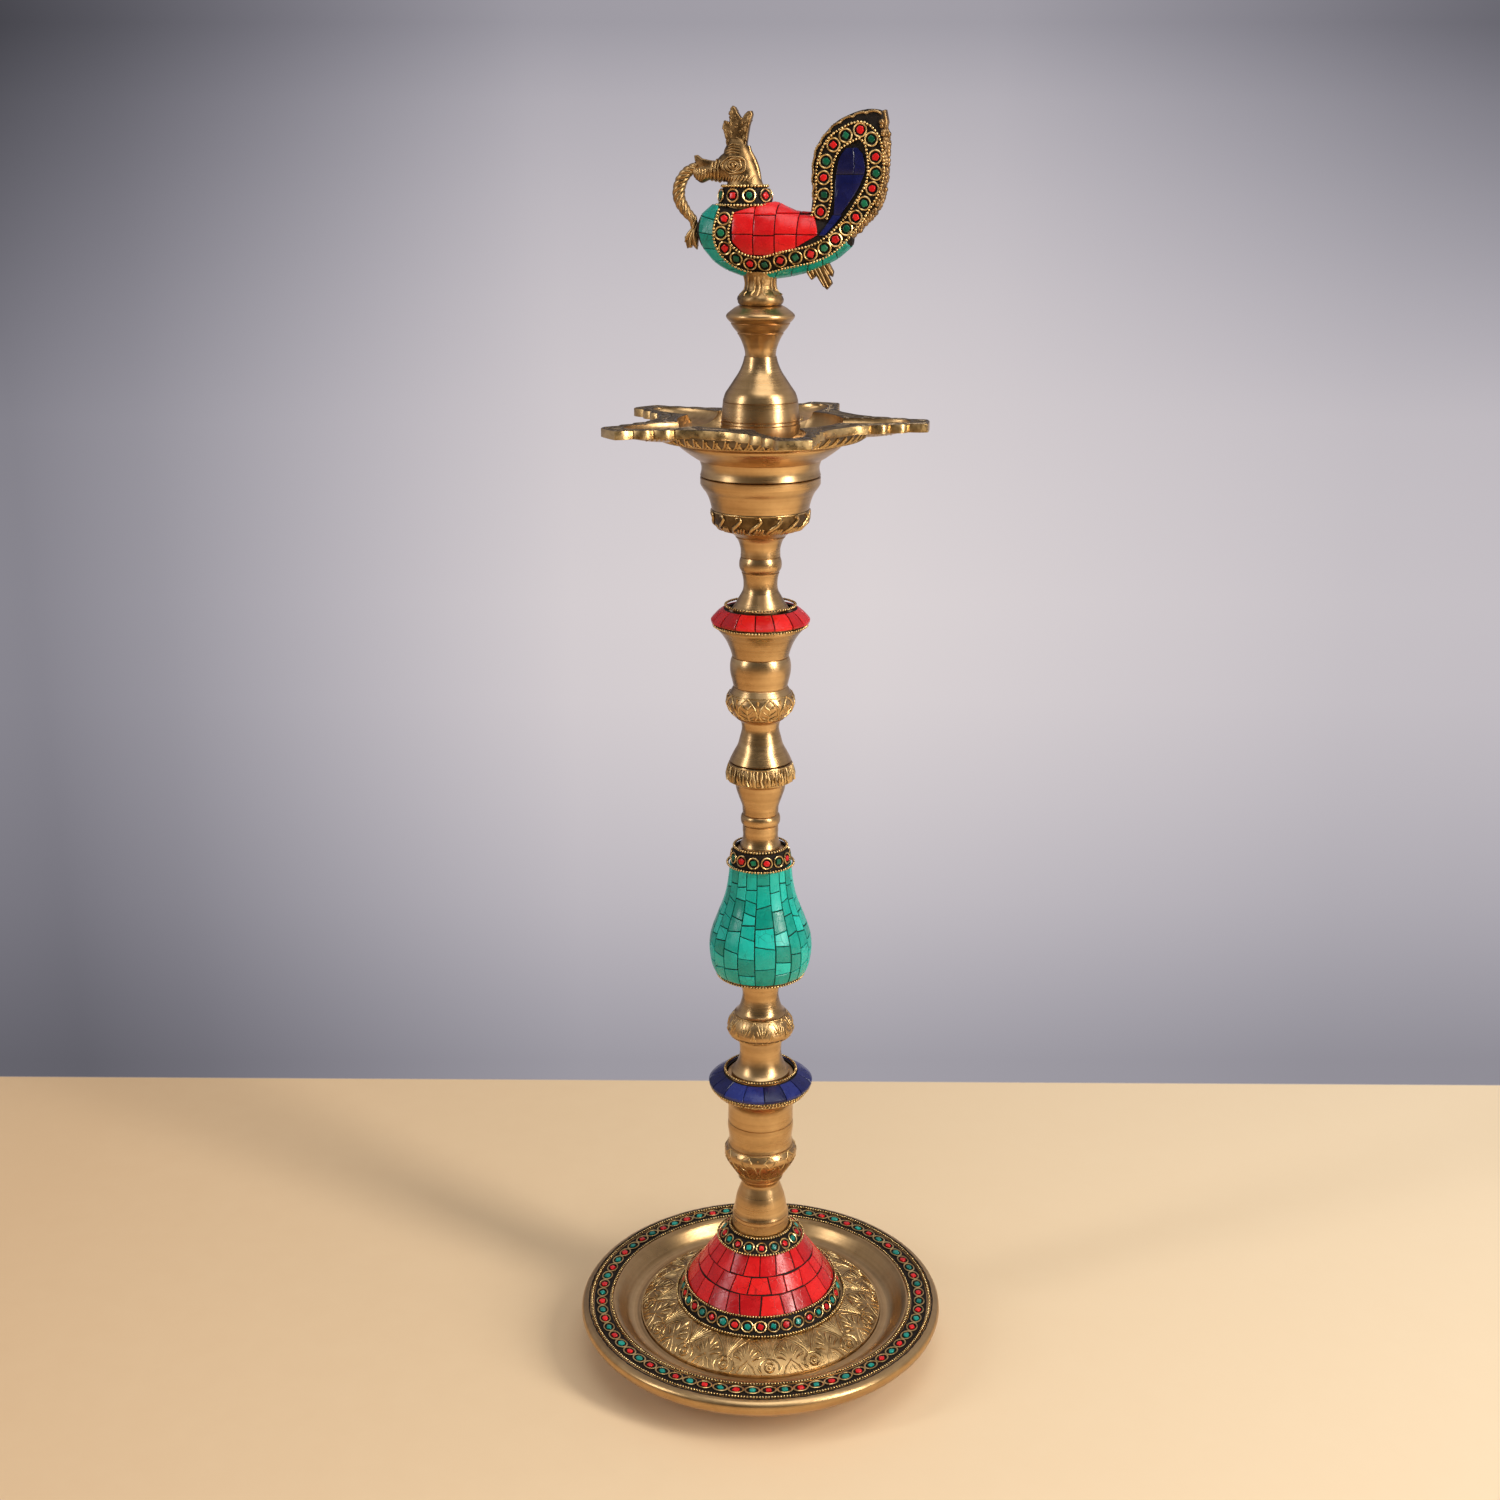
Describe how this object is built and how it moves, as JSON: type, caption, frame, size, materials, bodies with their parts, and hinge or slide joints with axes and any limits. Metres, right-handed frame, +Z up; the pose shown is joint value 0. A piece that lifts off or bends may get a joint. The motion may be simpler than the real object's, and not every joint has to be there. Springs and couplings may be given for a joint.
{
  "type": "standing oil lamp",
  "caption": "Tall brass oil lamp: dish base, turned stem of screwed sections, stone-inlay bands, star-shaped bowl with wick spouts and a peacock finial.",
  "frame": {"origin": "centre of the foot ring, on the surface that the lamp stands on", "axes": "+Z up the stem; -Y is the front; the peacock's head points about -X and its tail about +X"},
  "size_m": [0.1696, 0.1696, 0.5597],
  "materials": {
    "satin_brass": "satin, with fine rings left by the lathe",
    "chased_brass": "cast and chased by hand, dark in the cuts",
    "beaded_wire": "bright wire rolled into small beads",
    "plated_steel": "plain zinc plate",
    "red_stone": "polished red chips with dark joints",
    "turquoise_stone": "polished turquoise chips with dark joints",
    "blue_stone": "polished dark blue chips with dark joints",
    "cell_band": "dark setting with wire cells and red and green stones"
  },
  "bodies": {
    "base": {"base_foot": "satin_brass", "base_dish": "satin_brass", "base_dome": "chased_brass", "rim_stone_band": "cell_band", "rim_outer_bead_wire": "beaded_wire", "rim_inner_bead_wire": "beaded_wire", "base_bolt": "plated_steel", "base_washer": "plated_steel", "cone_core": "satin_brass", "cone_skirt_stone_band": "cell_band", "cone_coral_mosaic": "red_stone", "cone_crown_stone_band": "cell_band", "cone_foot_bead_wire": "beaded_wire", "cone_skirt_bead_wire": "beaded_wire", "cone_crown_bead_wire": "beaded_wire", "cone_top_bead_wire": "beaded_wire"},
    "lower_stem_screw": {"lower_stem_stud": "satin_brass"},
    "lower_stem_section": {"lower_stem": "satin_brass", "lapis_ring": "blue_stone", "lapis_ring_top_bead_wire": "beaded_wire", "lapis_ring_under_bead_wire": "beaded_wire", "rope_trim": "chased_brass"},
    "lotus_stem_screw": {"lotus_stem_stud": "satin_brass"},
    "lotus_stem_section": {"lotus_stem": "satin_brass"},
    "pear_screw": {"pear_stud": "satin_brass"},
    "pear_section": {"pear_core": "satin_brass", "pear_turquoise_mosaic": "turquoise_stone", "pear_collar_stone_band": "cell_band", "pear_foot_stone_band": "cell_band", "pear_foot_bead_wire": "beaded_wire", "collar_lower_bead_wire": "beaded_wire", "collar_top_bead_wire": "beaded_wire"},
    "neck_screw": {"neck_segment_stud": "satin_brass"},
    "neck_section": {"neck_segment": "satin_brass"},
    "leaf_stem_screw": {"leaf_stem_stud": "satin_brass"},
    "leaf_stem_section": {"leaf_stem": "satin_brass", "coral_ring": "red_stone", "coral_ring_top_bead_wire": "beaded_wire", "coral_ring_under_bead_wire": "beaded_wire"},
    "bowl_stem_screw": {"bowl_stem_stud": "satin_brass"},
    "bowl_stem_section": {"bowl_stem": "satin_brass"},
    "bowl_screw": {"star_bowl_stud": "satin_brass"},
    "bowl": {"star_bowl": "chased_brass"},
    "vase_screw": {"vase_stud": "satin_brass"},
    "vase": {"finial_vase": "satin_brass"},
    "peacock_screw": {"peacock_stud": "satin_brass"},
    "peacock": {"peacock_casting": "chased_brass", "peacock_neck_band": "cell_band", "peacock_breast_mosaic": "turquoise_stone", "peacock_left_cell_band": "cell_band", "peacock_left_flank_mosaic": "red_stone", "peacock_left_tail_panel": "blue_stone", "peacock_right_cell_band": "cell_band", "peacock_right_flank_mosaic": "red_stone", "peacock_right_tail_panel": "blue_stone"}
  },
  "joints": [
    {"name": "lower_stem_rise", "type": "slide", "parent": "base", "child": "lower_stem_screw", "axis": [0, 0, 1], "range_m": [0, 0.008]},
    {"name": "lower_stem_unscrew", "type": "hinge", "parent": "lower_stem_screw", "child": "lower_stem_section", "pos_m": [0, 0, 0.062], "axis": [0, 0, 1], "range_deg": [0, 1440]},
    {"name": "lotus_stem_rise", "type": "slide", "parent": "lower_stem_section", "child": "lotus_stem_screw", "axis": [0, 0, 1], "range_m": [0, 0.008]},
    {"name": "lotus_stem_unscrew", "type": "hinge", "parent": "lotus_stem_screw", "child": "lotus_stem_section", "pos_m": [0, 0, 0.1415], "axis": [0, 0, 1], "range_deg": [0, 1440]},
    {"name": "pear_rise", "type": "slide", "parent": "lotus_stem_section", "child": "pear_screw", "axis": [0, 0, 1], "range_m": [0, 0.008]},
    {"name": "pear_unscrew", "type": "hinge", "parent": "pear_screw", "child": "pear_section", "pos_m": [0, 0, 0.1868], "axis": [0, 0, 1], "range_deg": [0, 1440]},
    {"name": "neck_rise", "type": "slide", "parent": "pear_section", "child": "neck_screw", "axis": [0, 0, 1], "range_m": [0, 0.008]},
    {"name": "neck_unscrew", "type": "hinge", "parent": "neck_screw", "child": "neck_section", "pos_m": [0, 0, 0.2508], "axis": [0, 0, 1], "range_deg": [0, 1440]},
    {"name": "leaf_stem_rise", "type": "slide", "parent": "neck_section", "child": "leaf_stem_screw", "axis": [0, 0, 1], "range_m": [0, 0.008]},
    {"name": "leaf_stem_unscrew", "type": "hinge", "parent": "leaf_stem_screw", "child": "leaf_stem_section", "pos_m": [0, 0, 0.2905], "axis": [0, 0, 1], "range_deg": [0, 1440]},
    {"name": "bowl_stem_rise", "type": "slide", "parent": "leaf_stem_section", "child": "bowl_stem_screw", "axis": [0, 0, 1], "range_m": [0, 0.008]},
    {"name": "bowl_stem_unscrew", "type": "hinge", "parent": "bowl_stem_screw", "child": "bowl_stem_section", "pos_m": [0, 0, 0.3574], "axis": [0, 0, 1], "range_deg": [0, 1440]},
    {"name": "bowl_rise", "type": "slide", "parent": "bowl_stem_section", "child": "bowl_screw", "axis": [0, 0, 1], "range_m": [0, 0.008]},
    {"name": "bowl_unscrew", "type": "hinge", "parent": "bowl_screw", "child": "bowl", "pos_m": [0, 0, 0.4144], "axis": [0, 0, 1], "range_deg": [0, 1440]},
    {"name": "vase_rise", "type": "slide", "parent": "bowl", "child": "vase_screw", "axis": [0, 0, 1], "range_m": [0, 0.004]},
    {"name": "vase_unscrew", "type": "hinge", "parent": "vase_screw", "child": "vase", "pos_m": [0, 0, 0.4242], "axis": [0, 0, 1], "range_deg": [0, 720]},
    {"name": "peacock_rise", "type": "slide", "parent": "vase", "child": "peacock_screw", "axis": [0, 0, 1], "range_m": [0, 0.008]},
    {"name": "peacock_unscrew", "type": "hinge", "parent": "peacock_screw", "child": "peacock", "pos_m": [0, 0, 0.4835], "axis": [0, 0, 1], "range_deg": [0, 1440]}
  ],
  "couplings": [
    {"joint": "lower_stem_unscrew", "follows": "lower_stem_rise", "rad_per_m": 3141.6},
    {"joint": "lotus_stem_unscrew", "follows": "lotus_stem_rise", "rad_per_m": 3141.6},
    {"joint": "pear_unscrew", "follows": "pear_rise", "rad_per_m": 3141.6},
    {"joint": "neck_unscrew", "follows": "neck_rise", "rad_per_m": 3141.6},
    {"joint": "leaf_stem_unscrew", "follows": "leaf_stem_rise", "rad_per_m": 3141.6},
    {"joint": "bowl_stem_unscrew", "follows": "bowl_stem_rise", "rad_per_m": 3141.6},
    {"joint": "bowl_unscrew", "follows": "bowl_rise", "rad_per_m": 3141.6},
    {"joint": "vase_unscrew", "follows": "vase_rise", "rad_per_m": 3141.6},
    {"joint": "peacock_unscrew", "follows": "peacock_rise", "rad_per_m": 3141.6}
  ]
}
